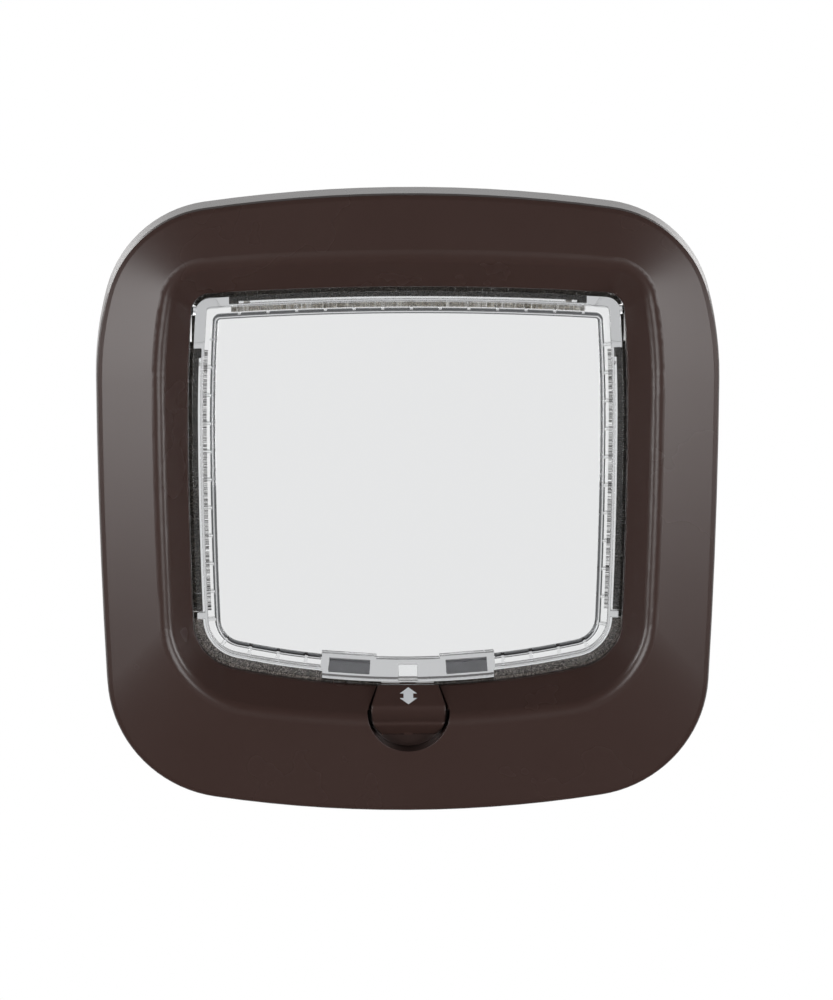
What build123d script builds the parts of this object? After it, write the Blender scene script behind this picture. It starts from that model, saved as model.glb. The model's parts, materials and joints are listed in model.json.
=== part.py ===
from build123d import *

import os
from dataclasses import astuple, dataclass
from math import asin, degrees, radians, sqrt, tan

# A two-way pet door for a flat door leaf: a moulded frame on each side of the leaf, a clear
# swinging flap with draught pile round its rim, magnets that close it and a sliding lock.
# Millimetres. The room side faces -Y, +Z is up, and the origin lies on the door's inner face,
# on the frame's centre line. "Forward" is a distance from that face towards the room.

# Frames
door_thickness = 25.0
wall = 2.4
rim_half_width = 146.5
rim_top = 145.0
rim_bottom = -152.0
face_side = 30.1
face_top = 29.0
face_bottom = 46.4
bowl_side = 12.5
bowl_top = 16.5
bowl_bottom = 12.8
rim_forward = 18.0
crown_forward = 24.0
lip_forward = 8.5
mould_draft = 3.0
rim_round = 2.6
crown_round = 7.0
lip_round = 2.5
crown_wall = 4.5
sleeve_length = 8.0
rib_thickness = 1.8
rib_pitch = 30.0
rib_recess = 1.0
exterior_margin = 5.0
exterior_rim_depth = 9.0
exterior_crown_depth = 13.0
exterior_flare = 6.0
exterior_flare_depth = 12.5
exterior_face_width = 24.0
sleeve_fit = 0.4

# Screws between the frames
screw_diameter = 4.0
screw_head_diameter = 7.6
screw_head_height = 2.8
screw_head_chamfer = 1.2
screw_grip = 12.0
screw_tip_gap = 1.0
screw_fit = 0.05
screw_hole_fit = 0.3
screw_boss_wall = 2.6
screw_seat_depth = 4.5
screw_slot_width = 1.2
screw_slot_length = 4.6
screw_slot_depth = 1.4
upper_screw_inset = 21.5
upper_screw_drop = 51.0
lower_screw_inset = 24.5
lower_screw_rise = 46.0

# Flap
flap_gap = 2.0
flap_middle = 4.4
rim_thickness = 7.4
panel_thickness = 2.4
rim_width = 10.9
channel_width = 4.9
groove_depth = 3.8
groove_width = 3.2
bead_width = 2.8
bead_thickness = 5.2
ladder_pitch = 13.5
ladder_rib = 1.4
ladder_thickness = 4.4
lug_radius = 12.5
lug_drop = 3.0
lug_thickness = 8.4

# Hinge
hinge_drop = 9.5
pin_diameter = 4.0
pin_in_lug = 8.0
pin_in_frame = 8.0
pin_fit = 0.02
pin_clearance = 0.15
hinge_boss_height = 11.0
hinge_boss_wall = 2.0
retainer_clearance = 0.1

# Pile strips
pile_thickness = 2.6
pile_reach = 1.3
pile_seat_gap = 0.25
pile_end_gap = 0.4
pile_break = 3.0
top_pile_inset = 17.9
side_pile_drop = 18.0
side_pile_rise = 33.8

# Magnets
magnet_length = 19.4
magnet_height = 6.0
magnet_thickness = 4.0
magnet_place = 28.0
magnet_edge = 3.2
magnet_fit = 0.1
magnet_cover = 1.5
magnet_holder_length = 26.0
magnet_holder_rise = 1.4
block_half_length = 41.0
sill_magnet_depth = 8.0
sill_seat = 0.8
sill_pocket_wall = 1.6

# Lock: drops and rises are from the scoop's centre, setbacks from the crown's front
scoop_rise = 3.5
scoop_setback = 14.0
slot_half_width = 19.6
slot_lean = 22.0
slot_floor = 2.9
slot_drop = 10.9
lock_travel = 7.0
lock_gap = 1.6
knob_round_gap = 1.9
knob_top_gap = 0.9
knob_ledge_proud = 0.5
knob_ledge_drop = 5.3
knob_crease_setback = 5.0
knob_crease_rise = 2.1
knob_top_setback = 13.0
knob_foot_setback = 7.0
knob_foot_drop = 12.3
knob_nose_round = 1.2
knob_flap_gap = 0.6
guide_forward = 5.4
guide_thickness = 2.4
guide_height = 8.0
guide_reach = 1.5
guide_fit = 0.3
tongue_width = 8.0
tongue_thickness = 3.2
tongue_fit = 0.6
catch_depth = 8.2
nib_width = 4.5
nib_size = 1.0

# How far a cutting shape reaches past the face that it opens
overshoot = 10.0


@dataclass
class Outline:
    """A closed shape of tangent arcs: crowned top, bottom and sides, with round corners."""

    half_width: float
    widest_at: float
    upper_side_radius: float
    lower_side_radius: float
    top: float
    top_radius: float
    bottom: float
    bottom_radius: float
    top_corner: float
    bottom_corner: float

    def inset(self, distance):
        return Outline(
            self.half_width - distance,
            self.widest_at,
            self.upper_side_radius - distance,
            self.lower_side_radius - distance,
            self.top - distance,
            self.top_radius - distance,
            self.bottom + distance,
            self.bottom_radius - distance,
            self.top_corner - distance,
            self.bottom_corner - distance,
        )

    def between(self, other, share):
        return Outline(*[a + (b - a) * share for a, b in zip(astuple(self), astuple(other))])

    def half_width_at(self, height):
        radius = self.upper_side_radius if height > self.widest_at else self.lower_side_radius
        return self.half_width - radius + sqrt(radius**2 - (height - self.widest_at) ** 2)

    def wire(self):
        top = Vector(0, self.top - self.top_radius)
        upper = Vector(self.half_width - self.upper_side_radius, self.widest_at)
        lower = Vector(self.half_width - self.lower_side_radius, self.widest_at)
        bottom = Vector(0, self.bottom + self.bottom_radius)
        widest = Vector(self.half_width, self.widest_at)
        top_mid, top_end, upper_start = corner_arc(
            top, self.top_radius, upper, self.upper_side_radius, self.top_corner
        )
        low_mid, lower_end, bottom_start = corner_arc(
            lower, self.lower_side_radius, bottom, self.bottom_radius, self.bottom_corner
        )
        upper_mid = arc_middle(upper, self.upper_side_radius, upper_start, widest)
        lower_mid = arc_middle(lower, self.lower_side_radius, widest, lower_end)
        right_side = [
            (top_end, top_mid, upper_start),
            (upper_start, upper_mid, widest),
            (widest, lower_mid, lower_end),
            (lower_end, low_mid, bottom_start),
        ]
        arcs = [ThreePointArc(mirrored(top_end), Vector(0, self.top), top_end)]
        arcs += [ThreePointArc(*points) for points in right_side]
        arcs += [ThreePointArc(bottom_start, Vector(0, self.bottom), mirrored(bottom_start))]
        arcs += [ThreePointArc(*map(mirrored, reversed(points))) for points in reversed(right_side)]
        return Wire(arcs)


def mirrored(point):
    return Vector(-point.X, point.Y)


def arc_middle(centre, radius, start, end):
    halfway = (start - centre).normalized() + (end - centre).normalized()
    return centre + halfway.normalized() * radius


def corner_arc(first, first_radius, second, second_radius, radius):
    """Middle and ends of the arc that rounds the corner between two circles, clockwise."""
    across = second - first
    reach, other_reach = first_radius - radius, second_radius - radius
    along = (reach**2 - other_reach**2 + across.length**2) / (2 * across.length)
    beside = sqrt(reach**2 - along**2)
    direction = across.normalized()
    normal = Vector(-direction.Y, direction.X)
    centre = max(
        (first + direction * along + normal * side * beside for side in (1, -1)),
        key=lambda point: point.X,
    )
    start = first + (centre - first).normalized() * first_radius
    end = second + (centre - second).normalized() * second_radius
    return arc_middle(centre, radius, start, end), start, end


rim_outline = Outline(
    half_width=rim_half_width,
    widest_at=57.0,
    upper_side_radius=156.0,
    lower_side_radius=3000.0,
    top=rim_top,
    top_radius=685.0,
    bottom=rim_bottom,
    bottom_radius=600.0,
    top_corner=55.0,
    bottom_corner=60.0,
)
crown_outline = Outline(
    half_width=rim_half_width - face_side,
    widest_at=60.0,
    upper_side_radius=170.0,
    lower_side_radius=2800.0,
    top=rim_top - face_top,
    top_radius=1210.0,
    bottom=rim_bottom + face_bottom,
    bottom_radius=580.0,
    top_corner=19.0,
    bottom_corner=45.0,
)
tunnel_outline = Outline(
    half_width=crown_outline.half_width - bowl_side,
    widest_at=32.0,
    upper_side_radius=800.0,
    lower_side_radius=2400.0,
    top=crown_outline.top - bowl_top,
    top_radius=1500.0,
    bottom=crown_outline.bottom + bowl_bottom,
    bottom_radius=390.0,
    top_corner=9.0,
    bottom_corner=24.0,
)
flap_outline = tunnel_outline.inset(flap_gap)
panel_outline = flap_outline.inset(rim_width)
sleeve_outline = tunnel_outline.inset(-wall)
exterior_tunnel = sleeve_outline.inset(-sleeve_fit)
exterior_rim = rim_outline.inset(exterior_margin)
exterior_back = -door_thickness
far_forward = crown_forward + overshoot
far_out = rim_half_width - rim_bottom
flap_bottom = flap_outline.bottom
hinge_height = flap_outline.top - hinge_drop
hinge_boss_end = pin_in_frame + flap_gap + hinge_boss_wall
scoop_height = crown_outline.bottom + scoop_rise
scoop_radius = slot_half_width
scoop_floor = crown_forward - scoop_setback
scoop_face = crown_forward - scoop_rise * (crown_forward - lip_forward) / bowl_bottom
slot_bottom = scoop_height - slot_drop
screw_places = []
for hand in (-1, 1):
    screw_places.append((hand * (rim_half_width - upper_screw_inset), rim_top - upper_screw_drop))
    screw_places.append((hand * (rim_half_width - lower_screw_inset), rim_bottom + lower_screw_rise))


def section(outline, forward):
    return Plane.XZ.offset(forward) * make_face(outline.wire())


def prism(outline, back, front):
    return extrude(section(outline, back), amount=front - back)


def ring(outer, inner, back, front):
    return prism(outer, back, front) - prism(inner, back, front)


def block(x_range, forward_range, z_range):
    """A box between two limits on each axis, with Y given as forward distances."""
    x0, x1 = sorted(x_range)
    f0, f1 = sorted(forward_range)
    z0, z1 = sorted(z_range)
    return Pos((x0 + x1) / 2, -(f0 + f1) / 2, (z0 + z1) / 2) * Box(x1 - x0, f1 - f0, z1 - z0)


def rod_along_x(diameter, x_range, forward, height):
    x0, x1 = sorted(x_range)
    return Pos((x0 + x1) / 2, -forward, height) * Rot(0, 90, 0) * Cylinder(diameter / 2, x1 - x0)


def rod_along_y(diameter, place, back, front):
    x, z = place
    return Pos(x, -(back + front) / 2, z) * Rot(90, 0, 0) * Cylinder(diameter / 2, front - back)


def loop_edges(solid, forward):
    """Edges of a loop that lies in one plane across the tunnel."""
    close = 0.01
    return solid.edges().filter_by_position(Axis.Y, -forward - close, -forward + close)


def ribs(back, front):
    """An egg-crate of thin plates, evenly spaced over the frame."""
    steps = range(-int(far_out / rib_pitch), int(far_out / rib_pitch) + 1)
    span = (-far_out, far_out)
    half = rib_thickness / 2
    plates = []
    for k in steps:
        across = (k * rib_pitch - half, k * rib_pitch + half)
        plates += [block(across, (back, front), span), block(span, (back, front), across)]
    return plates


def tapered_slot(gap, back, front, low, high):
    """The lock's channel, as wide as the scoop where they meet, brought in by a gap on each side."""
    lean = tan(radians(slot_lean))
    narrow, wide = [slot_half_width - (scoop_face - f) * lean - gap for f in (back, front)]
    corners = [(-wide, -front), (wide, -front), (narrow, -back), (-narrow, -back)]
    return extrude(Pos(0, 0, low) * Polygon(*corners, align=None), amount=high - low)


def scoop(radius, back, front):
    """The half round below the lock that makes room for a thumb."""
    drum = rod_along_y(2 * radius, (0, scoop_height), back, front)
    return drum & block((-radius, radius), (back, front), (scoop_height - radius, scoop_height))


def magnet_plane(side, edge):
    """A plane on the flap's bottom arc, tilted with it, at a distance inside the edge."""
    arc_radius = flap_outline.bottom_radius - edge
    tilt = degrees(asin(magnet_place / arc_radius))
    centre = Pos(0, -flap_middle, flap_outline.bottom + flap_outline.bottom_radius)
    return centre * Rot(0, -side * tilt, 0) * Pos(0, 0, -arc_radius)


def hinge_wall(side):
    return side * tunnel_outline.half_width_at(hinge_height)


def hinge_slot(side):
    """The pin's way in, from the back of the sleeve to its seat in the frame."""
    height = pin_diameter + 2 * pin_clearance
    seat_end = hinge_boss_end - hinge_boss_wall
    x_range = (hinge_wall(side) - side * wall, hinge_wall(side) + side * seat_end)
    seat = rod_along_x(height, x_range, flap_middle, hinge_height)
    z_range = (hinge_height - height / 2, hinge_height + height / 2)
    return seat + block(x_range, (-sleeve_length, flap_middle), z_range)


def hinge_boss(side):
    x_range = (hinge_wall(side), hinge_wall(side) + side * hinge_boss_end)
    half = hinge_boss_height / 2
    return block(x_range, (rib_recess, flap_middle + half), (hinge_height - half, hinge_height + half))


def sill_magnet_place(side):
    """The frame's magnet lies under the flap's, below the sill."""
    edge = -flap_gap - wall - sill_seat - sill_magnet_depth / 2
    return magnet_plane(side, edge)


def face_core():
    """What the mould's core leaves open behind the face, in steps that follow the bowl."""
    bowl_depth = crown_forward - lip_forward
    lip_core, rim_core, crown_core = lip_forward - wall, rim_forward - wall, crown_forward - crown_wall
    outer = rim_outline.inset(wall)
    crown_outer = rim_outline.between(
        crown_outline, (crown_core + wall - rim_forward) / (crown_forward - rim_forward)
    )
    middle = tunnel_outline.between(crown_outline, (rim_core - lip_forward) / bowl_depth).inset(-wall)
    inner = tunnel_outline.between(crown_outline, (crown_core - lip_forward) / bowl_depth).inset(-wall)
    core = ring(outer, sleeve_outline, 0, lip_core)
    core += ring(outer, middle, lip_core, rim_core)
    return core + ring(crown_outer, inner, rim_core, crown_core)


def core_fillings():
    """Ribs, bosses and liners that stand in the core."""
    boss = screw_diameter + 2 * screw_boss_wall
    guide_wall = wall + guide_reach + guide_fit
    pocket = Box(
        magnet_length + 2 * sill_pocket_wall,
        magnet_height + 2 * sill_pocket_wall,
        sill_magnet_depth + 2 * (sill_seat + wall),
    )
    sill = tunnel_outline.bottom
    fillings = ribs(rib_recess, far_forward)
    fillings += [rod_along_y(boss, place, rib_recess, far_forward) for place in screw_places]
    fillings += [hinge_boss(side) for side in (-1, 1)]
    fillings += [sill_magnet_place(side) * pocket for side in (-1, 1)]
    fillings += [
        tapered_slot(-guide_wall, slot_floor - wall, scoop_floor, slot_bottom - wall, sill),
        tapered_slot(-wall, scoop_floor - wall, far_forward, scoop_height, sill),
        scoop(scoop_radius + wall, scoop_floor - wall, far_forward),
    ]
    return fillings


def sill_magnet_cavity(side):
    opened = sill_magnet_depth + sill_seat + wall
    cavity = Box(
        magnet_length + 2 * magnet_fit,
        magnet_height + 2 * magnet_fit,
        opened,
        align=(Align.CENTER, Align.CENTER, Align.MAX),
    )
    return sill_magnet_place(side) * Pos(0, 0, sill_magnet_depth / 2 + magnet_fit) * cavity


def rounded_rim(outline, round_size, forward, outward):
    """Sections that turn a wall's end into a face: outward is the way the wall rises."""
    soft = round_size * (1 - sqrt(0.5))
    return [
        section(outline, forward - outward * round_size),
        section(outline.inset(soft), forward - outward * soft),
        section(outline.inset(round_size), forward),
    ]


def interior_frame():
    back_rim = rim_outline.inset(-rim_forward * tan(radians(mould_draft)))
    rim = rounded_rim(rim_outline, rim_round, rim_forward, 1)
    hill = loft([section(back_rim, 0), *rim, section(crown_outline, crown_forward)], ruled=True)
    lip, crown = section(tunnel_outline, lip_forward), section(crown_outline, crown_forward)
    body = hill - loft([lip, crown], ruled=True) - prism(tunnel_outline, 0, lip_forward)
    for forward, radius in ((crown_forward, crown_round), (lip_forward, lip_round)):
        body = fillet(loop_edges(body, forward), radius)

    body -= face_core() - core_fillings()
    body += ring(sleeve_outline, tunnel_outline, -sleeve_length, 0)
    body -= tapered_slot(0, slot_floor, scoop_floor, slot_bottom, flap_bottom)
    body -= tapered_slot(0, scoop_floor, far_forward, scoop_height, flap_bottom)
    body -= scoop(scoop_radius, scoop_floor, far_forward)
    body -= guide_grooves()
    body -= [hinge_slot(side) for side in (-1, 1)]
    hole = screw_diameter + 2 * screw_fit
    body -= [rod_along_y(hole, place, 0, screw_grip + screw_tip_gap) for place in screw_places]
    body -= [sill_magnet_cavity(side) for side in (-1, 1)]
    return body


def guide_slab(extra_reach, thickness, low, high):
    """The lock's side wings, or the grooves they run in."""
    half = thickness / 2
    back, front = guide_forward - half, guide_forward + half
    return tapered_slot(-extra_reach, back, front, low, high)


def guide_grooves():
    low = slot_bottom + wall
    high = low + guide_height + lock_travel + 2 * guide_fit
    return guide_slab(guide_reach + guide_fit, guide_thickness + 2 * guide_fit, low, high)


def exterior_frame():
    rim_depth = door_thickness + exterior_rim_depth
    crown_depth = door_thickness + exterior_crown_depth
    flare_depth = crown_depth - exterior_flare_depth
    drafted = exterior_rim.inset(exterior_rim_depth * tan(radians(mould_draft)))
    crown = exterior_rim.inset(exterior_face_width)
    mouth = exterior_tunnel.inset(-exterior_flare)
    sleeve = exterior_tunnel.inset(-wall)
    rim = rounded_rim(drafted, rim_round, -rim_depth, -1)
    body = loft([section(exterior_rim, exterior_back), *rim, section(crown, -crown_depth)], ruled=True)

    boss = screw_head_diameter + 2 * screw_boss_wall
    fillings = ribs(-crown_depth, exterior_back - rib_recess)
    fillings += [rod_along_y(boss, place, -crown_depth, exterior_back - rib_recess) for place in screw_places]
    body -= ring(drafted.inset(wall), mouth.inset(-wall), wall - rim_depth, exterior_back) - fillings
    body += ring(sleeve, exterior_tunnel, exterior_back, -rib_recess)
    body -= loft([section(exterior_tunnel, -flare_depth), section(mouth, -crown_depth)], ruled=True)
    body -= prism(exterior_tunnel, -flare_depth, 0)
    hole = screw_diameter + 2 * screw_hole_fit
    seat = screw_head_diameter + 2 * screw_hole_fit
    for place in screw_places:
        body -= rod_along_y(hole, place, -crown_depth, exterior_back)
        body -= rod_along_y(seat, place, -crown_depth, exterior_back - screw_seat_depth)
    return body


def pile_stretches(end_gap):
    """Where the pile runs along the flap's rim, one box for each strip."""
    low = flap_outline.bottom - rim_width
    high = flap_outline.top + rim_width
    wide = flap_outline.half_width + rim_width
    depth = (flap_middle - rim_thickness, flap_middle + rim_thickness)
    inner = panel_outline.half_width / 2
    top_half = flap_outline.half_width - top_pile_inset - end_gap
    side_low = flap_bottom + side_pile_rise
    stretches = {"top": block((-top_half, top_half), depth, (panel_outline.top - rim_width, high))}
    for side, name in ((-1, "left"), (1, "right")):
        sides = (side_low + end_gap, hinge_height - side_pile_drop - end_gap)
        stretches[name] = block((side * inner, side * wide), depth, sides)
        corner_x = (side * (block_half_length + end_gap), side * wide)
        corner_z = (low, side_low - pile_break - end_gap)
        stretches["lower_" + name] = block(corner_x, depth, corner_z)
    return stretches


def pile_strips():
    half = pile_thickness / 2
    outer = flap_outline.inset(-pile_reach)
    inner = flap_outline.inset(groove_depth - pile_seat_gap)
    band = ring(outer, inner, flap_middle - half, flap_middle + half)
    return {name: band & box for name, box in pile_stretches(pile_end_gap).items()}


def magnet_holder(side):
    top_edge = rim_width + magnet_holder_rise
    holder = Box(
        magnet_holder_length,
        rim_thickness,
        top_edge - magnet_edge / 2,
        align=(Align.CENTER, Align.CENTER, Align.MAX),
    )
    return magnet_plane(side, top_edge) * holder


def magnet_pocket(side):
    deep = rim_thickness - magnet_cover
    cavity = Box(
        magnet_length + 2 * magnet_fit,
        deep,
        magnet_height + 2 * magnet_fit,
        align=(Align.CENTER, Align.MAX, Align.CENTER),
    )
    return magnet_plane(side, magnet_edge + magnet_height / 2) * Pos(0, rim_thickness / 2, 0) * cavity


def flap_magnet(side):
    bar = Box(magnet_length, magnet_thickness, magnet_height)
    seat = magnet_cover + magnet_fit + magnet_thickness / 2 - rim_thickness / 2
    return magnet_plane(side, magnet_edge + magnet_height / 2) * Pos(0, seat, 0) * bar


def sill_magnet(side):
    return sill_magnet_place(side) * Box(magnet_length, magnet_height, sill_magnet_depth)


def ladder_ribs():
    """Short ribs across the trough between the rim's channel and its inner bead."""
    reach = rim_width - channel_width - bead_width
    path = Plane.XZ.offset(flap_middle) * flap_outline.inset(channel_width + reach / 2).wire()
    count = round(path.length / ladder_pitch)
    rib = Box(ladder_rib, reach + bead_width, ladder_thickness)
    shares = [k / count for k in range(count)]
    return [Plane(path @ share, x_dir=path % share, z_dir=(0, -1, 0)) * rib for share in shares]


def flap_panel():
    half_rim, half_panel, half_bead = rim_thickness / 2, panel_thickness / 2, bead_thickness / 2
    front, back = flap_middle + half_rim, flap_middle - half_rim
    plate = prism(flap_outline, flap_middle - half_panel, flap_middle + half_panel)
    channel = ring(flap_outline, flap_outline.inset(channel_width), back, front)
    bead_outer = panel_outline.inset(-bead_width)
    bead = ring(bead_outer, panel_outline, flap_middle - half_bead, flap_middle + half_bead)
    block_region = block((-block_half_length, block_half_length), (back, front), (flap_bottom, 0))
    magnet_block = ring(flap_outline, panel_outline, back, front) & block_region
    holders = [magnet_holder(side) for side in (-1, 1)]
    panel = plate + [channel, bead, magnet_block] + ladder_ribs() + holders

    half_lug = lug_thickness / 2
    whole = prism(flap_outline, flap_middle - half_lug, flap_middle + half_lug)
    edge = flap_outline.half_width_at(hinge_height)
    for side in (-1, 1):
        place = (side * edge, hinge_height - lug_drop)
        panel += whole & rod_along_y(2 * lug_radius, place, flap_middle - half_lug, flap_middle + half_lug)

    half_groove = groove_width / 2
    groove_floor = flap_outline.inset(groove_depth)
    around = flap_outline.inset(-rim_width)
    groove = ring(around, groove_floor, flap_middle - half_groove, flap_middle + half_groove)
    panel -= [groove & box for box in pile_stretches(0).values()]
    panel -= [magnet_pocket(side) for side in (-1, 1)]
    bore = pin_diameter + 2 * pin_fit
    for side in (-1, 1):
        bore_range = (side * (edge - pin_in_lug), side * (edge + flap_gap))
        panel -= rod_along_x(bore, bore_range, flap_middle, hinge_height)
    panel -= lock_tongue(tongue_fit, flap_bottom - tongue_fit, flap_bottom + catch_depth)
    return panel


def hinge_pin(side):
    edge = flap_outline.half_width_at(hinge_height)
    end = abs(hinge_wall(side)) + pin_in_frame
    return rod_along_x(pin_diameter, (side * (edge - pin_in_lug), side * end), flap_middle, hinge_height)


def hinge_retainer(side):
    """Fills the pin's slot behind the pin, flush with the tunnel and the end of the sleeve."""
    half = pin_diameter / 2 + pin_clearance - retainer_clearance
    inner = hinge_wall(side) + side * pin_clearance
    z_range = (hinge_height - half, hinge_height + half)
    behind_pin = flap_middle - pin_diameter / 2 - pin_clearance
    tail = block((inner, hinge_wall(side) + side * wall), (-sleeve_length, behind_pin), z_range)
    foot_end = hinge_wall(side) + side * (pin_in_frame - retainer_clearance)
    return tail + block((inner, foot_end), (rib_recess, behind_pin), z_range)


def lock_tongue(gap, low, high):
    half = tongue_width / 2 + gap
    middle = slot_floor + guide_fit + tongue_thickness / 2
    depth = (middle - tongue_thickness / 2 - gap, middle + tongue_thickness / 2 + gap)
    return block((-half, half), depth, (low, high))


def lock_slider():
    """A knob that follows the bowl's slope, with a thumb ledge, side wings and a tongue."""
    top = flap_bottom - knob_top_gap
    knob_back = flap_middle + lug_thickness / 2 + knob_flap_gap
    top_front = (knob_top_setback - crown_forward, top)
    crease = (knob_crease_setback - crown_forward, scoop_height + knob_crease_rise)
    ledge = (-knob_ledge_proud - crown_forward, scoop_height - knob_ledge_drop)
    foot = (knob_foot_setback - crown_forward, scoop_height - knob_foot_drop)
    heel = -scoop_floor - knob_flap_gap
    low = slot_bottom + wall + guide_fit
    hollow_point = ((crease[0] + ledge[0]) / 2 + knob_nose_round, (crease[1] + ledge[1]) / 2)
    front = [
        Line((-knob_back, top), top_front),
        Line(top_front, crease),
        ThreePointArc(crease, hollow_point, ledge),
    ]
    behind = Polyline(ledge, foot, (heel, foot[1]), (heel, low), (-knob_back, low), (-knob_back, top))
    profile = make_face(Wire(front + behind.edges()))
    nose = profile.vertices().sort_by(Axis.X)[0]
    profile = fillet(nose, knob_nose_round)
    knob = extrude(Plane.YZ * profile, amount=slot_half_width, both=True)
    knob &= rod_along_y(2 * (scoop_radius - knob_round_gap), (0, scoop_height), 0, far_forward)
    knob &= tapered_slot(lock_gap, 0, far_forward, slot_bottom - scoop_radius, top)

    shoulder = top - lock_travel - knob_top_gap
    stem = tapered_slot(lock_gap, slot_floor + guide_fit, knob_back + knob_flap_gap, low, shoulder)
    wings = guide_slab(guide_reach, guide_thickness, low, low + guide_height)
    tongue = lock_tongue(0, low, top)
    nib_x = (-nib_width / 2, nib_width / 2)
    nib = block(nib_x, (-foot[0], -foot[0] + nib_size), (foot[1], foot[1] + nib_size))
    return knob + [stem, wings, tongue, nib]


def frame_screw(place):
    """A pan-head screw with a cross slot, from the outer frame into the inner one."""
    x, z = place
    seat = door_thickness + screw_seat_depth
    shank = rod_along_y(screw_diameter, place, -seat, screw_grip)
    head = rod_along_y(screw_head_diameter, place, -seat - screw_head_height, -seat)
    top_edge = head.edges().sort_by(Axis.Y)[-1]
    head = chamfer(top_edge, screw_head_chamfer)
    slot = Box(
        screw_slot_width,
        screw_slot_depth,
        screw_slot_length,
        align=(Align.CENTER, Align.MAX, Align.CENTER),
    )
    at_top = Pos(x, seat + screw_head_height, z)
    return shank + head - [at_top * slot, at_top * Rot(0, 90, 0) * slot]


pieces = {
    "interior_frame": interior_frame(),
    "exterior_frame": exterior_frame(),
    "flap_panel": flap_panel(),
    "lock_slider": lock_slider(),
    "frame_screws": Compound(children=[frame_screw(place) for place in screw_places]),
}
for strip_name, strip in pile_strips().items():
    pieces[strip_name + "_pile_strip"] = strip
for hand, hand_name in ((-1, "left"), (1, "right")):
    pieces[hand_name + "_hinge_pin"] = hinge_pin(hand)
    pieces[hand_name + "_hinge_retainer"] = hinge_retainer(hand)
    pieces[hand_name + "_flap_magnet"] = flap_magnet(hand)
    pieces[hand_name + "_sill_magnet"] = sill_magnet(hand)

os.makedirs("parts", exist_ok=True)
for node, shape in pieces.items():
    export_step(shape, f"parts/{node}.step")
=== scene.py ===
import json
import math
import random

import bmesh
import bpy
from mathutils import Matrix, Vector
from mathutils.bvhtree import BVHTree


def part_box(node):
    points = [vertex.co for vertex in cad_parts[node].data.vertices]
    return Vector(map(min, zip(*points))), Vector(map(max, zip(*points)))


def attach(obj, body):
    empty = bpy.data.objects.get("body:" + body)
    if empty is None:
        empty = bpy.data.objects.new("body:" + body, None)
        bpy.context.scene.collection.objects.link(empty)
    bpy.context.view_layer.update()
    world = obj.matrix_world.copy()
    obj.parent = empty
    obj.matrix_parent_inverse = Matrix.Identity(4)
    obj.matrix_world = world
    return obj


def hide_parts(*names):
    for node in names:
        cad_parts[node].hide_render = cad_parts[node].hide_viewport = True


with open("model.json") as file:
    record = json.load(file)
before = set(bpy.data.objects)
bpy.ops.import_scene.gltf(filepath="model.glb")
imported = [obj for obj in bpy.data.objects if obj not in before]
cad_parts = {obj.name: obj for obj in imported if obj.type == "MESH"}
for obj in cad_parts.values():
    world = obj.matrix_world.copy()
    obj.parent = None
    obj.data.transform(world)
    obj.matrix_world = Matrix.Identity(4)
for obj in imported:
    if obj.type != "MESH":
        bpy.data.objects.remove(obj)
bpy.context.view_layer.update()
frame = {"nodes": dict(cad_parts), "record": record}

mm = 0.001
nodes = frame["nodes"]
print("stage: frame loaded")


# Shader arithmetic on node outputs
class Shade:
    def __init__(self, tree, socket=None):
        self.tree = tree
        self.socket = socket

    def make(self, kind, settings=None, values=None, output=0):
        node = self.tree.nodes.new("ShaderNode" + kind)
        for name, value in (settings or {}).items():
            setattr(node, name, value)
        for name, value in (values or {}).items():
            if isinstance(value, Shade):
                self.tree.links.new(value.socket, node.inputs[name])
            else:
                node.inputs[name].default_value = value
        return Shade(self.tree, node.outputs[output])

    def math(self, operation, first, second=0.0):
        return self.make("Math", {"operation": operation}, {0: first, 1: second})

    def __add__(self, other):
        return self.math("ADD", self, other)

    def __radd__(self, other):
        return self.math("ADD", other, self)

    def __sub__(self, other):
        return self.math("SUBTRACT", self, other)

    def __rsub__(self, other):
        return self.math("SUBTRACT", other, self)

    def __mul__(self, other):
        return self.math("MULTIPLY", self, other)

    def __rmul__(self, other):
        return self.math("MULTIPLY", other, self)

    def __truediv__(self, other):
        return self.math("DIVIDE", self, other)

    def noise(self, where, scale, detail=2.0, roughness=0.5):
        settings = {"noise_dimensions": "3D"}
        values = {"Vector": where, "Scale": scale, "Detail": detail, "Roughness": roughness}
        return self.make("TexNoise", settings, values)

    def mix(self, factor, first, second):
        settings = {"data_type": "RGBA", "blend_type": "MIX"}
        return self.make("Mix", settings, {0: factor, 6: first, 7: second}, 2)

    def bump(self, height, strength, distance, normal=None):
        values = {"Strength": strength, "Distance": distance, "Height": height}
        if normal:
            values["Normal"] = normal
        return self.make("Bump", None, values)


def newMaterial(name, constants):
    material = bpy.data.materials.new(name)
    material.use_nodes = True
    shader = material.node_tree.nodes["Principled BSDF"]
    for socket, value in constants.items():
        shader.inputs[socket].default_value = value
    return material, Shade(material.node_tree), shader


def feed(pen, shader, links):
    for socket, value in links.items():
        pen.tree.links.new(value.socket, shader.inputs[socket])


def place(pen):
    return pen.make("TexCoord", output=3)


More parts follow.
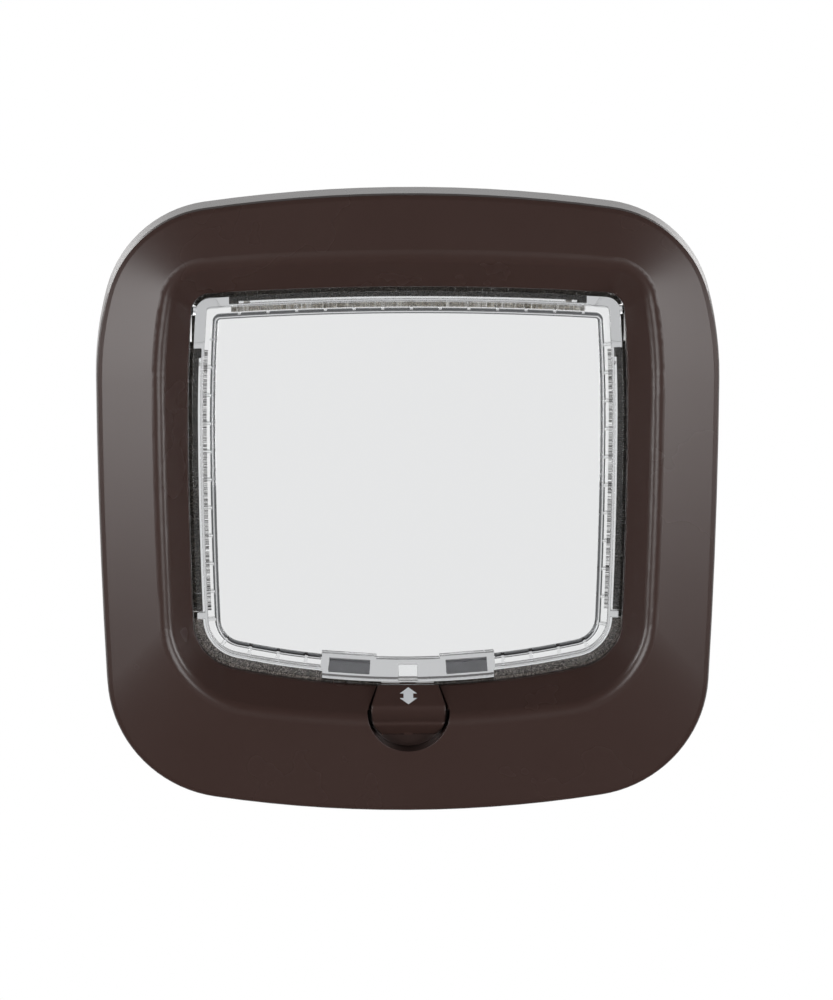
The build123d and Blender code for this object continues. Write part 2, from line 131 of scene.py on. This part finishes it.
# Materials
def brownPlastic(name, edgeRound):
    look = {
        "dark": (0.0490, 0.0272, 0.0230, 1),
        "light": (0.0560, 0.0322, 0.0276, 1),
        "patch": 22.0,
        "patchShare": 0.7,
        "grain": 2600.0,
        "roughness": 0.27,
        "roughnessSpread": 0.04,
        "grainStrength": 0.12,
        "grainDepth": 0.00003,
    }
    material, pen, shader = newMaterial(name, {"IOR": 1.5, "Specular IOR Level": 0.5})
    where = place(pen)
    patches = pen.noise(where, look["patch"], 3.0)
    grain = pen.noise(where, look["grain"], 2.0, 0.6)
    rounded = pen.make("Bevel", {"samples": 6}, {"Radius": edgeRound})
    tone = patches * look["patchShare"] + grain * (1 - look["patchShare"])
    feed(pen, shader, {
        "Base Color": pen.mix(tone, look["dark"], look["light"]),
        "Roughness": look["roughness"] + (patches - 0.5) * look["roughnessSpread"],
        "Normal": pen.bump(grain, look["grainStrength"], look["grainDepth"], rounded),
    })
    return material


def clearPlastic():
    look = {
        "tint": (0.985, 0.99, 0.99, 1),
        "paintedShadeTint": (0.16, 0.165, 0.17, 1),
        "roughness": 0.01,
        "smear": 14.0,
        "spread": 0.02,
        "edgeRound": 0.0003,
        "absorption": (0.30, 0.31, 0.33, 1),
        "density": 105.0,
    }
    material, pen, shader = newMaterial("clearPlastic", {
        "IOR": 1.5,
        "Transmission Weight": 1.0,
    })
    smear = pen.noise(place(pen), look["smear"], 3.0)
    # Painted shade: faces marked on the bead's steep sides take a dark tint in place of the clear
    # tint
    paintedFlankShade = pen.make("Attribute", {"attribute_name": "paintedFlankShade"}, output="Fac")
    feed(pen, shader, {
        "Base Color": pen.mix(paintedFlankShade, look["tint"], look["paintedShadeTint"]),
        "Roughness": look["roughness"] + smear * look["spread"],
        "Normal": pen.make("Bevel", {"samples": 8}, {"Radius": look["edgeRound"]}),
    })
    absorbed = {"Color": look["absorption"], "Density": look["density"]}
    inside = pen.make("VolumeAbsorption", None, absorbed)
    output = material.node_tree.nodes["Material Output"]
    pen.tree.links.new(inside.socket, output.inputs["Volume"])
    return material


def pileFibre(name, dark, light):
    look = {"strand": 1500.0, "middle": 0.44, "contrast": 4.5}
    material, pen, shader = newMaterial(name, {
        "Roughness": 0.85,
        "Sheen Weight": 0.2,
        "Specular IOR Level": 0.25,
    })
    strand = (pen.noise(place(pen), look["strand"], 1.0) - look["middle"]) * look["contrast"]
    feed(pen, shader, {"Base Color": pen.mix(strand, dark, light)})
    return material


def magnetGrey():
    look = {
        "dark": (0.12, 0.12, 0.128, 1),
        "light": (0.22, 0.22, 0.235, 1),
        "grain": 1500.0,
        "roughness": 0.42,
        "roughnessSpread": 0.25,
        "grainStrength": 0.3,
        "grainDepth": 0.00004,
    }
    material, pen, shader = newMaterial("magnetGrey", {"Metallic": 0.35})
    grain = pen.noise(place(pen), look["grain"], 3.0)
    feed(pen, shader, {
        "Base Color": pen.mix(grain, look["dark"], look["light"]),
        "Roughness": look["roughness"] + grain * look["roughnessSpread"],
        "Normal": pen.bump(grain, look["grainStrength"], look["grainDepth"]),
    })
    return material


def screwSteel():
    look = {
        "dark": (0.56, 0.56, 0.544, 1),
        "light": (0.7, 0.7, 0.68, 1),
        "grain": 1200.0,
        "roughness": 0.38,
        "roughnessSpread": 0.2,
        "grainStrength": 0.2,
        "grainDepth": 0.00002,
    }
    material, pen, shader = newMaterial("screwSteel", {"Metallic": 1.0})
    grain = pen.noise(place(pen), look["grain"], 4.0)
    feed(pen, shader, {
        "Base Color": pen.mix(grain, look["dark"], look["light"]),
        "Roughness": look["roughness"] + (grain - 0.5) * look["roughnessSpread"],
        "Normal": pen.bump(grain, look["grainStrength"], look["grainDepth"]),
    })
    return material


def signInk():
    look = {
        "dark": (0.62, 0.645, 0.67, 1),
        "light": (0.75, 0.775, 0.8, 1),
        "speckle": 2500.0,
        "roughness": 0.45,
        "roughnessSpread": 0.2,
    }
    material, pen, shader = newMaterial("signInk", {"IOR": 1.45})
    speckle = pen.noise(place(pen), look["speckle"], 2.0)
    feed(pen, shader, {
        "Base Color": pen.mix(speckle, look["dark"], look["light"]),
        "Roughness": look["roughness"] + speckle * look["roughnessSpread"],
    })
    return material


slotLooks = {
    "brown_plastic": brownPlastic("brownPlastic", 0.0005),
    "clear_plastic": clearPlastic(),
    "pile": pileFibre("darkPile", (0.014, 0.012, 0.010, 1), (0.16, 0.14, 0.12, 1)),
    "magnet": magnetGrey(),
    "screw_steel": screwSteel(),
}
slotOf = {part["node"]: part["material_slot"] for part in frame["record"]["subparts"]}
for name, obj in nodes.items():
    obj.data.materials.clear()
    obj.data.materials.append(slotLooks[slotOf[name]])
nodes["lock_slider"].data.materials[0] = brownPlastic("brownKnob", 0.0016)
# The lower strips get a paler copy of the same pile: painted light where light from the front
# falls on them through the flap. The other strips keep the darker copy.
lowerPile = pileFibre("lowerPile", (0.06, 0.052, 0.047, 1), (0.62, 0.55, 0.50, 1))
greyBacking = pileFibre("greyBacking", (0.015, 0.014, 0.013, 1), (0.30, 0.28, 0.26, 1))
paleBacking = pileFibre("paleBacking", (0.36, 0.32, 0.26, 1), (0.92, 0.85, 0.73, 1))
backingLooks = {"top": paleBacking, "left": greyBacking, "right": greyBacking}
print("stage: materials")


def newPiece(name, mesh, body, material):
    piece = bpy.data.objects.new(name, mesh)
    bpy.context.scene.collection.objects.link(piece)
    mesh.materials.append(material)
    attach(piece, body)
    return piece


# The flap's edge as seen from the front, and the same outline moved inwards and rounded
fine = {"arcStep": math.radians(9), "shortest": 0.05 * mm, "weld": 0.001 * mm}


def hull(points):
    ordered = sorted({(round(p.x, 6), round(p.z, 6)) for p in points})
    halves = []
    for run in (ordered, ordered[::-1]):
        half = []
        for p in run:
            while len(half) > 1 and cross(half[-2], half[-1], p) <= 0:
                half.pop()
            half.append(p)
        halves += half[:-1]
    return [Vector(p) for p in halves]


def cross(a, b, c):
    return (b[0] - a[0]) * (c[1] - a[1]) - (b[1] - a[1]) * (c[0] - a[0])


def outwardAt(a, b):
    along = (b - a).normalized()
    return Vector((along.y, -along.x))


def inwards(outline, distance, kept=None):
    kept = kept or outline
    for a, b in zip(outline, outline[1:] + outline[:1]):
        out = outwardAt(a, b)
        limit = a.dot(out) - distance
        clipped = []
        for p, q in zip(kept, kept[1:] + kept[:1]):
            over, nextOver = p.dot(out) - limit, q.dot(out) - limit
            if over <= 0:
                clipped.append(p)
            if over * nextOver < 0:
                clipped.append(p + (q - p) * over / (over - nextOver))
        kept = clipped
    return kept


def rounded(outline, radius):
    path = []
    for before, p, after in zip(outline[-1:] + outline[:-1], outline, outline[1:] + outline[:1]):
        first, last = outwardAt(before, p), outwardAt(p, after)
        turn = -first.angle_signed(last)
        count = max(1, math.ceil(turn / fine["arcStep"]))
        start = math.atan2(first.y, first.x)
        for k in range(count + 1):
            out = Vector((math.cos(start + turn * k / count), math.sin(start + turn * k / count)))
            path.append((p + out * radius, out))
    gaps = [(here[0] - before[0]).length for before, here in zip(path[-1:] + path[:-1], path)]
    return [here for here, gap in zip(path, gaps) if gap > fine["shortest"]]


def stepped(path, step):
    points = []
    for (p, out), (q, nextOut) in zip(path, path[1:] + path[:1]):
        count = max(1, math.ceil((q - p).length / step))
        for k in range(count):
            share = k / count
            points.append((p.lerp(q, share), out.lerp(nextOut, share).normalized()))
    return points


# Flap: the clear moulding with its pins, hollow lugs and the round bead along its window
flap = {
    "beadInset": 9.5 * mm,
    "beadCorner": 2.4 * mm,
    "beadHalfWidth": 1.4 * mm,
    "beadHalfDepth": 2.6 * mm,
    "beadSides": 20,
    "beadStep": 2.5 * mm,
    "pinFit": (1.003, 1.03, 1.03),
    "smoothBelow": math.radians(28),
    "flatFrom": 0.999,
    "lugPin": 8.0 * mm,
    "lugDrop": 3.0 * mm,
    "lugRadius": 12.6 * mm,
    "lugSides": 96,
    "lugWall": 5.0 * mm,
    "lugHollow": (1.2 * mm, 5.0 * mm),
    # The band in from the flap's edge, and the steepness, where the bead's sides get painted
    # shade
    "paintedShadeZone": (8.0 * mm, 11.0 * mm),
    "paintedShadeSteepBelow": 0.8,
}
flapEdge = hull([v.co for v in nodes["flap_panel"].data.vertices])
flapMiddle = sum((c.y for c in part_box("flap_panel")), 0.0) / 2


def sewn(mesh):
    build = bmesh.new()
    build.from_mesh(mesh)
    bmesh.ops.remove_doubles(build, verts=build.verts, dist=fine["weld"])
    return build


def beadRing():
    outline = inwards(flapEdge, flap["beadInset"] + flap["beadCorner"])
    build = bmesh.new()
    rings = []
    for p, out in stepped(rounded(outline, flap["beadCorner"]), flap["beadStep"]):
        ring = []
        for k in range(flap["beadSides"]):
            turn = 2 * math.pi * k / flap["beadSides"]
            side = p + out * flap["beadHalfWidth"] * math.cos(turn)
            y = flapMiddle + flap["beadHalfDepth"] * math.sin(turn)
            ring.append(build.verts.new((side.x, y, side.y)))
        rings.append(ring)
    for ring, after in zip(rings, rings[1:] + rings[:1]):
        for k in range(len(ring)):
            other = (k + 1) % len(ring)
            build.faces.new((ring[k], ring[other], after[other], after[k]))
    bmesh.ops.recalc_face_normals(build, faces=build.faces)
    return build


def mouldedPin(nodeName):
    low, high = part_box(nodeName)
    middle = (low + high) / 2
    build = sewn(nodes[nodeName].data)
    for vert in build.verts:
        vert.co = middle + (vert.co - middle) * Vector(flap["pinFit"])
    return build


# The hollows in a lug's two faces, behind its outer wall
def lugHollows(nodeName):
    low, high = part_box(nodeName)
    side = math.copysign(1, low.x)
    across = side * (min(abs(low.x), abs(high.x)) + flap["lugPin"])
    middle = Vector((across, (low.z + high.z) / 2 - flap["lugDrop"]))
    turns = [2 * math.pi * k / flap["lugSides"] for k in range(flap["lugSides"])]
    disc = [middle + flap["lugRadius"] * Vector((math.cos(t), math.sin(t))) for t in turns]
    outline = inwards(flapEdge, flap["lugWall"], disc)
    build = bmesh.new()
    near, far = flap["lugHollow"]
    for face in (-1, 1):
        ends = []
        for depth in (near, far):
            y = flapMiddle + face * depth
            ends.append([build.verts.new((p.x, y, p.y)) for p in outline])
        build.faces.new(ends[0])
        build.faces.new(ends[1])
        for k in range(len(outline)):
            build.faces.new((ends[0][k - 1], ends[0][k], ends[1][k], ends[1][k - 1]))
    bmesh.ops.recalc_face_normals(build, faces=build.faces)
    return build


def loose(name, build):
    mesh = bpy.data.meshes.new(name)
    build.to_mesh(mesh)
    build.free()
    obj = bpy.data.objects.new(name, mesh)
    bpy.context.scene.collection.objects.link(obj)
    return obj


def shaped(body, others, operation):
    for other in others:
        step = body.modifiers.new(other.name, "BOOLEAN")
        step.operation = operation
        step.solver = "EXACT"
        step.object = other
    depsgraph = bpy.context.evaluated_depsgraph_get()
    mesh = bpy.data.meshes.new_from_object(body.evaluated_get(depsgraph))
    for obj in [body] + others:
        bpy.data.objects.remove(obj)
    return loose("flapBody", sewn(mesh))


# Marks the steep sides of the bead, which get painted shade: a dark tint standing in for the dark
# lines that refraction gives there
def markPaintedFlankShade(mesh):
    sides = [(a, outwardAt(a, b)) for a, b in zip(flapEdge, flapEdge[1:] + flapEdge[:1])]
    low, high = flap["paintedShadeZone"]
    mark = mesh.attributes.new("paintedFlankShade", "FLOAT", "FACE")
    for face in mesh.polygons:
        middle = Vector((face.center.x, face.center.z))
        inset = min((a - middle).dot(out) for a, out in sides)
        steep = abs(face.normal.y) < flap["paintedShadeSteepBelow"]
        mark.data[face.index].value = float(steep and low < inset < high)


def flapMoulding():
    pins = ["left_hinge_pin", "right_hinge_pin"]
    body = loose("flapBody", sewn(nodes["flap_panel"].data))
    body = shaped(body, [loose(pin + "Moulded", mouldedPin(pin)) for pin in pins], "UNION")
    body = shaped(body, [loose(pin + "Hollows", lugHollows(pin)) for pin in pins], "DIFFERENCE")
    body = shaped(body, [loose("bead", beadRing())], "UNION")
    mesh = body.data
    bpy.data.objects.remove(body)
    mesh.name = "flap_moulding"
    mesh.shade_smooth()
    mesh.set_sharp_from_angle(angle=flap["smoothBelow"])
    for face in mesh.polygons:
        face.use_smooth = abs(face.normal.y) < flap["flatFrom"]
    markPaintedFlankShade(mesh)
    clear = slotLooks["clear_plastic"]
    piece = newPiece("flap_moulding", mesh, "flap", clear)
    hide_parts("flap_panel", *pins)
    return len(mesh.polygons)


print("stage: flap,", flapMoulding(), "faces")


# Draught pile: short fibres on each strip's outer face and along the edge between strips,
# and the strips' woven backing, seen through the flap
pile = {
    "perSquareMm": 20,
    "depth": 3.9 * mm,
    "beyond": 0.66 * mm,
    "edgeReach": 1.94 * mm,
    "edgeHalfDepth": 1.3 * mm,
    "clearOfLock": 12.5 * mm,
    "clearOfPin": 2.3 * mm,
    "nearHinge": 15.0 * mm,
    "hingeReach": (101.9 * mm, 100.9 * mm),
    "stripEnd": 0.4 * mm,
    "radius": 0.06 * mm,
    "sides": 3,
    "lean": 0.08,
    "spread": 0.5 * mm,
    "seed": 7,
    "edgeOnBelow": 0.3,
    "outwardFrom": 0.5,
    "stripWidth": 2.6 * mm,
    "backingPerMm": {"top": 22, "left": 8, "right": 8},
    "backingFrom": {"top": 9.2 * mm, "left": 8.0 * mm, "right": 8.0 * mm},
    "backingTo": 6.3 * mm,
    "behindPlate": (1.35 * mm, 2.1 * mm),
}


def outerFaces(mesh):
    mesh.calc_loop_triangles()
    found = []
    for triangle in mesh.loop_triangles:
        corners = [mesh.vertices[i].co for i in triangle.vertices]
        middle = sum(corners, Vector()) / 3
        normal = (corners[1] - corners[0]).cross(corners[2] - corners[0])
        if normal.length == 0:
            continue
        area = normal.length / 2
        normal.normalize()
        outward = Vector((middle.x, 0, middle.z))
        facing = normal.dot(outward) > pile["outwardFrom"] * outward.length
        if abs(normal.y) < pile["edgeOnBelow"] and facing:
            found.append((corners, normal, area))
    return found


def fibre(build, root, tip):
    along = (tip - root).normalized()
    side = along.orthogonal().normalized()
    other = along.cross(side)
    rings = []
    for end in (root, tip):
        ring = []
        for k in range(pile["sides"]):
            turn = 2 * math.pi * k / pile["sides"]
            offset = pile["radius"] * (math.cos(turn) * side + math.sin(turn) * other)
            ring.append(build.verts.new(end + offset))
        rings.append(ring)
    for k in range(pile["sides"]):
        after = (k + 1) % pile["sides"]
        build.faces.new((rings[0][k], rings[0][after], rings[1][after], rings[1][k]))
    build.faces.new(rings[1])


def within(corners, chance):
    a, b = chance.random(), chance.random()
    if a + b > 1:
        a, b = 1 - a, 1 - b
    return corners[0] + a * (corners[1] - corners[0]) + b * (corners[2] - corners[0])


def pileMesh(name, build):
    mesh = bpy.data.meshes.new(name)
    build.to_mesh(mesh)
    build.free()
    return mesh


def pileStrip(nodeName):
    chance = random.Random(pile["seed"])
    build = bmesh.new()
    for corners, normal, area in outerFaces(nodes[nodeName].data):
        wanted = area / mm**2 * pile["perSquareMm"]
        count = int(wanted) + (chance.random() < wanted - int(wanted))
        for _ in range(count):
            root = within(corners, chance) - normal * pile["depth"]
            lean = Vector([chance.uniform(-1, 1) * pile["lean"] for _ in range(3)])
            length = pile["depth"] + pile["beyond"] - chance.random() ** 2 * pile["spread"]
            fibre(build, root, root + (normal + lean).normalized() * length)
    mesh = pileMesh(nodeName + "_fibres", build)
    # The lower strips take the paler copy of the pile, which is painted light
    material = lowerPile if nodeName.startswith("lower") else slotLooks["pile"]
    piece = newPiece(nodeName + "_fibres", mesh, "flap", material)
    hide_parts(nodeName)
    return len(mesh.polygons)


def backing(side):
    chance = random.Random(pile["seed"])
    build = bmesh.new()
    for corners, normal, area in outerFaces(nodes[side + "_pile_strip"].data):
        count = round(area / pile["stripWidth"] / mm * pile["backingPerMm"][side])
        for _ in range(count):
            p = within(corners, chance)
            p.y = flapMiddle + chance.uniform(*pile["behindPlate"])
            fibre(build, p - normal * pile["backingFrom"][side], p - normal * pile["backingTo"])
    mesh = pileMesh(side + "_pile_backing", build)
    newPiece(side + "_pile_backing", mesh, "flap", backingLooks[side])
    return len(mesh.polygons)


def bare(x, z, strips, pinHeight):
    room = pile["stripEnd"]
    for low, high in strips:
        if low.x - room < x < high.x + room and low.z - room < z < high.z + room:
            return False
    underLock = z < 0 and abs(x) < pile["clearOfLock"]
    return not underLock and abs(z - pinHeight) > pile["clearOfPin"]


def edgePile():
    chance = random.Random(pile["seed"])
    strips = [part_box(name) for name in pileNodes]
    pinHeight = sum((c.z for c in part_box("left_hinge_pin")), 0.0) / 2
    build = bmesh.new()
    for a, b in zip(flapEdge, flapEdge[1:] + flapEdge[:1]):
        out = outwardAt(a, b)
        normal = Vector((out.x, 0, out.y))
        wanted = (b - a).length * 2 * pile["edgeHalfDepth"] / mm**2 * pile["perSquareMm"]
        count = int(wanted) + (chance.random() < wanted - int(wanted))
        for _ in range(count):
            p = a.lerp(b, chance.random())
            y = flapMiddle + chance.uniform(-1, 1) * pile["edgeHalfDepth"]
            lean = Vector([chance.uniform(-1, 1) * pile["lean"] for _ in range(3)])
            length = pile["edgeReach"] - chance.random() ** 2 * pile["spread"]
            if bare(p.x, p.y, strips, pinHeight):
                root = Vector((p.x, y, p.y))
                tip = root + (normal + lean).normalized() * length
                if abs(p.y - pinHeight) < pile["nearHinge"]:
                    reach = pile["hingeReach"][p.y > pinHeight]
                    tip.x = max(-reach, min(reach, tip.x))
                fibre(build, root, tip)
    mesh = pileMesh("edge_pile_fibres", build)
    newPiece("edge_pile_fibres", mesh, "flap", slotLooks["pile"])
    return len(mesh.polygons)


pileNodes = [name for name, slot in slotOf.items() if slot == "pile"]
pileFaces = sum(pileStrip(name) for name in pileNodes) + edgePile()
pileFaces += sum(backing(side) for side in backingLooks)
print("stage: pile,", pileFaces, "faces")


# The lock's sign: a double arrow laid on the knob's slope
arrow = {
    "halfWidth": 4.1 * mm,
    "halfHeight": 3.4 * mm,
    "headHeight": 2.5 * mm,
    "stemHalfWidth": 2.3 * mm,
    "middle": -96.0 * mm,
    "proud": 0.06 * mm,
}


def surfaceOf(nodeName):
    mesh = nodes[nodeName].data
    mesh.calc_loop_triangles()
    points = [v.co.copy() for v in mesh.vertices]
    return BVHTree.FromPolygons(points, [tuple(t.vertices) for t in mesh.loop_triangles])


def arrowSign():
    tree = surfaceOf("lock_slider")
    w, h = arrow["halfWidth"], arrow["halfHeight"]
    neck, stem = h - arrow["headHeight"], arrow["stemHalfWidth"]
    outline = [(0, h), (-w, neck), (-stem, neck), (-stem, -neck), (-w, -neck),
               (0, -h), (w, -neck), (stem, -neck), (stem, neck), (w, neck)]
    build = bmesh.new()
    verts = []
    for x, z in outline:
        ahead = Vector((x, -1, arrow["middle"] + z))
        hit, normal, _, _ = tree.ray_cast(ahead, Vector((0, 1, 0)))
        verts.append(build.verts.new(hit + normal * arrow["proud"]))
    face = build.faces.new(verts)
    face.normal_update()
    if face.normal.y > 0:
        face.normal_flip()
    mesh = bpy.data.meshes.new("lock_arrow")
    build.to_mesh(mesh)
    build.free()
    newPiece("lock_arrow", mesh, "lock", signInk())


arrowSign()
print("stage: sign")


# Studio: a pale floor and backdrop, bright behind and in front of the flap and dim to the sides
studio = {
    "floor": -0.30,
    "floorRadius": 4.0,
    "floorSegments": 96,
    "floorColour": (0.8, 0.8, 0.79, 1),
    "dim": 0.03,
    "dimBelow": 0.35,
    "brightFrom": 0.85,
}


def backdrop(pen, direction):
    seen, gloss, through = [
        pen.make("LightPath", output="Is " + kind + " Ray")
        for kind in ("Camera", "Glossy", "Transmission")
    ]
    outward = pen.make("SeparateXYZ", None, {"Vector": direction}, 1)
    facing = through * pen.math("ABSOLUTE", outward) + (1 - through) * gloss * outward
    rise = (facing - studio["dimBelow"]) / (studio["brightFrom"] - studio["dimBelow"])
    level = studio["dim"] + (1 - studio["dim"]) * pen.make("Clamp", None, {"Value": rise})
    white = pen.mix(seen + (1 - seen) * level, (0, 0, 0, 1), (1, 1, 1, 1))
    return white, pen.make("Clamp", None, {"Value": seen + gloss + through})


def paleFloor():
    build = bmesh.new()
    shape = {"segments": studio["floorSegments"], "radius": studio["floorRadius"]}
    bmesh.ops.create_circle(build, cap_ends=True, **shape)
    mesh = bpy.data.meshes.new("paleFloor")
    build.to_mesh(mesh)
    build.free()
    mesh.transform(Matrix.Translation((0, 0, studio["floor"])))
    floor = bpy.data.objects.new("paleFloor", mesh)
    bpy.context.scene.collection.objects.link(floor)
    material, pen, shader = newMaterial("paleFloor", {
        "Roughness": 0.9,
        "Specular IOR Level": 0.0,
        "Emission Strength": 1.0,
    })
    direction = pen.make("VectorMath", {"operation": "NORMALIZE"}, {0: place(pen)})
    white, viewed = backdrop(pen, direction)
    feed(pen, shader, {
        "Base Color": pen.mix(viewed, studio["floorColour"], (0, 0, 0, 1)),
        "Emission Color": pen.mix(viewed, (0, 0, 0, 1), white),
    })
    material.cycles.emission_sampling = "NONE"
    mesh.materials.append(material)


# Each light's place, width and height, and power, all aimed at the middle of the door
lights = {
    "leftSoftbox": ((-0.72, -1.43, -0.1), (0.55, 0.8), 8.8),
    "rightSoftbox": ((0.72, -1.43, -0.1), (0.55, 0.8), 7.7),
    "leftStrip": ((-1.43, -0.72, 0.0), (0.35, 1.2), 10.5),
    "rightStrip": ((1.43, -0.72, 0.0), (0.35, 1.2), 11.0),
    "leftBackLight": ((-1.0, 1.2, 0.5), (0.8, 0.8), 9.0),
    "rightBackLight": ((1.0, 1.2, 0.5), (0.8, 0.8), 9.0),
}


def softLight(name, where, size, power):
    light = bpy.data.lights.new(name, "AREA")
    light.shape = "RECTANGLE"
    light.size, light.size_y = size
    light.energy = power
    obj = bpy.data.objects.new(name, light)
    obj.location = where
    obj.rotation_euler = (-Vector(where)).to_track_quat("-Z", "Y").to_euler()
    bpy.context.scene.collection.objects.link(obj)


def backdropWorld():
    made = bpy.data.worlds.new("backdrop")
    made.use_nodes = True
    made.cycles.sampling_method = "NONE"
    pen = Shade(made.node_tree)
    white, _ = backdrop(pen, pen.make("TexCoord", output=0))
    feed(pen, made.node_tree.nodes["Background"], {"Color": white})
    bpy.context.scene.world = made


paleFloor()
backdropWorld()
for name, (where, size, power) in lights.items():
    softLight(name, where, size, power)
print("stage: studio")


# Camera, from the photograph's view
view = {
    "distance": 2.4,
    "elevation": math.radians(11.0),
    "azimuth": math.radians(-1.2),
    "aim": Vector((0, -0.018, 0)),
    "mmPerPixel": 0.4719,
    "imageWidth": 833,
    "imageHeight": 1000,
    "sensorWidth": 36.0,
    "clipEnd": 20.0,
    "aimPixel": (408.5, 499.0),
}


def camera():
    a, e = view["azimuth"], view["elevation"]
    look = Vector((-math.sin(a) * math.cos(e), math.cos(a) * math.cos(e), -math.sin(e)))
    lens = bpy.data.cameras.new("photoCamera")
    lens.sensor_fit = "HORIZONTAL"
    lens.sensor_width = view["sensorWidth"]
    seenWidth = view["mmPerPixel"] * mm * view["imageWidth"]
    lens.lens = view["distance"] / seenWidth * lens.sensor_width
    lens.shift_x = (view["imageWidth"] / 2 - view["aimPixel"][0]) / view["imageWidth"]
    lens.shift_y = (view["aimPixel"][1] - view["imageHeight"] / 2) / view["imageWidth"]
    lens.clip_end = view["clipEnd"]
    obj = bpy.data.objects.new("photoCamera", lens)
    obj.location = view["aim"] - look * view["distance"]
    obj.rotation_euler = look.to_track_quat("-Z", "Y").to_euler()
    bpy.context.scene.collection.objects.link(obj)
    bpy.context.scene.camera = obj


camera()
bpy.context.scene.view_settings.view_transform = "Standard"
print("stage: camera")
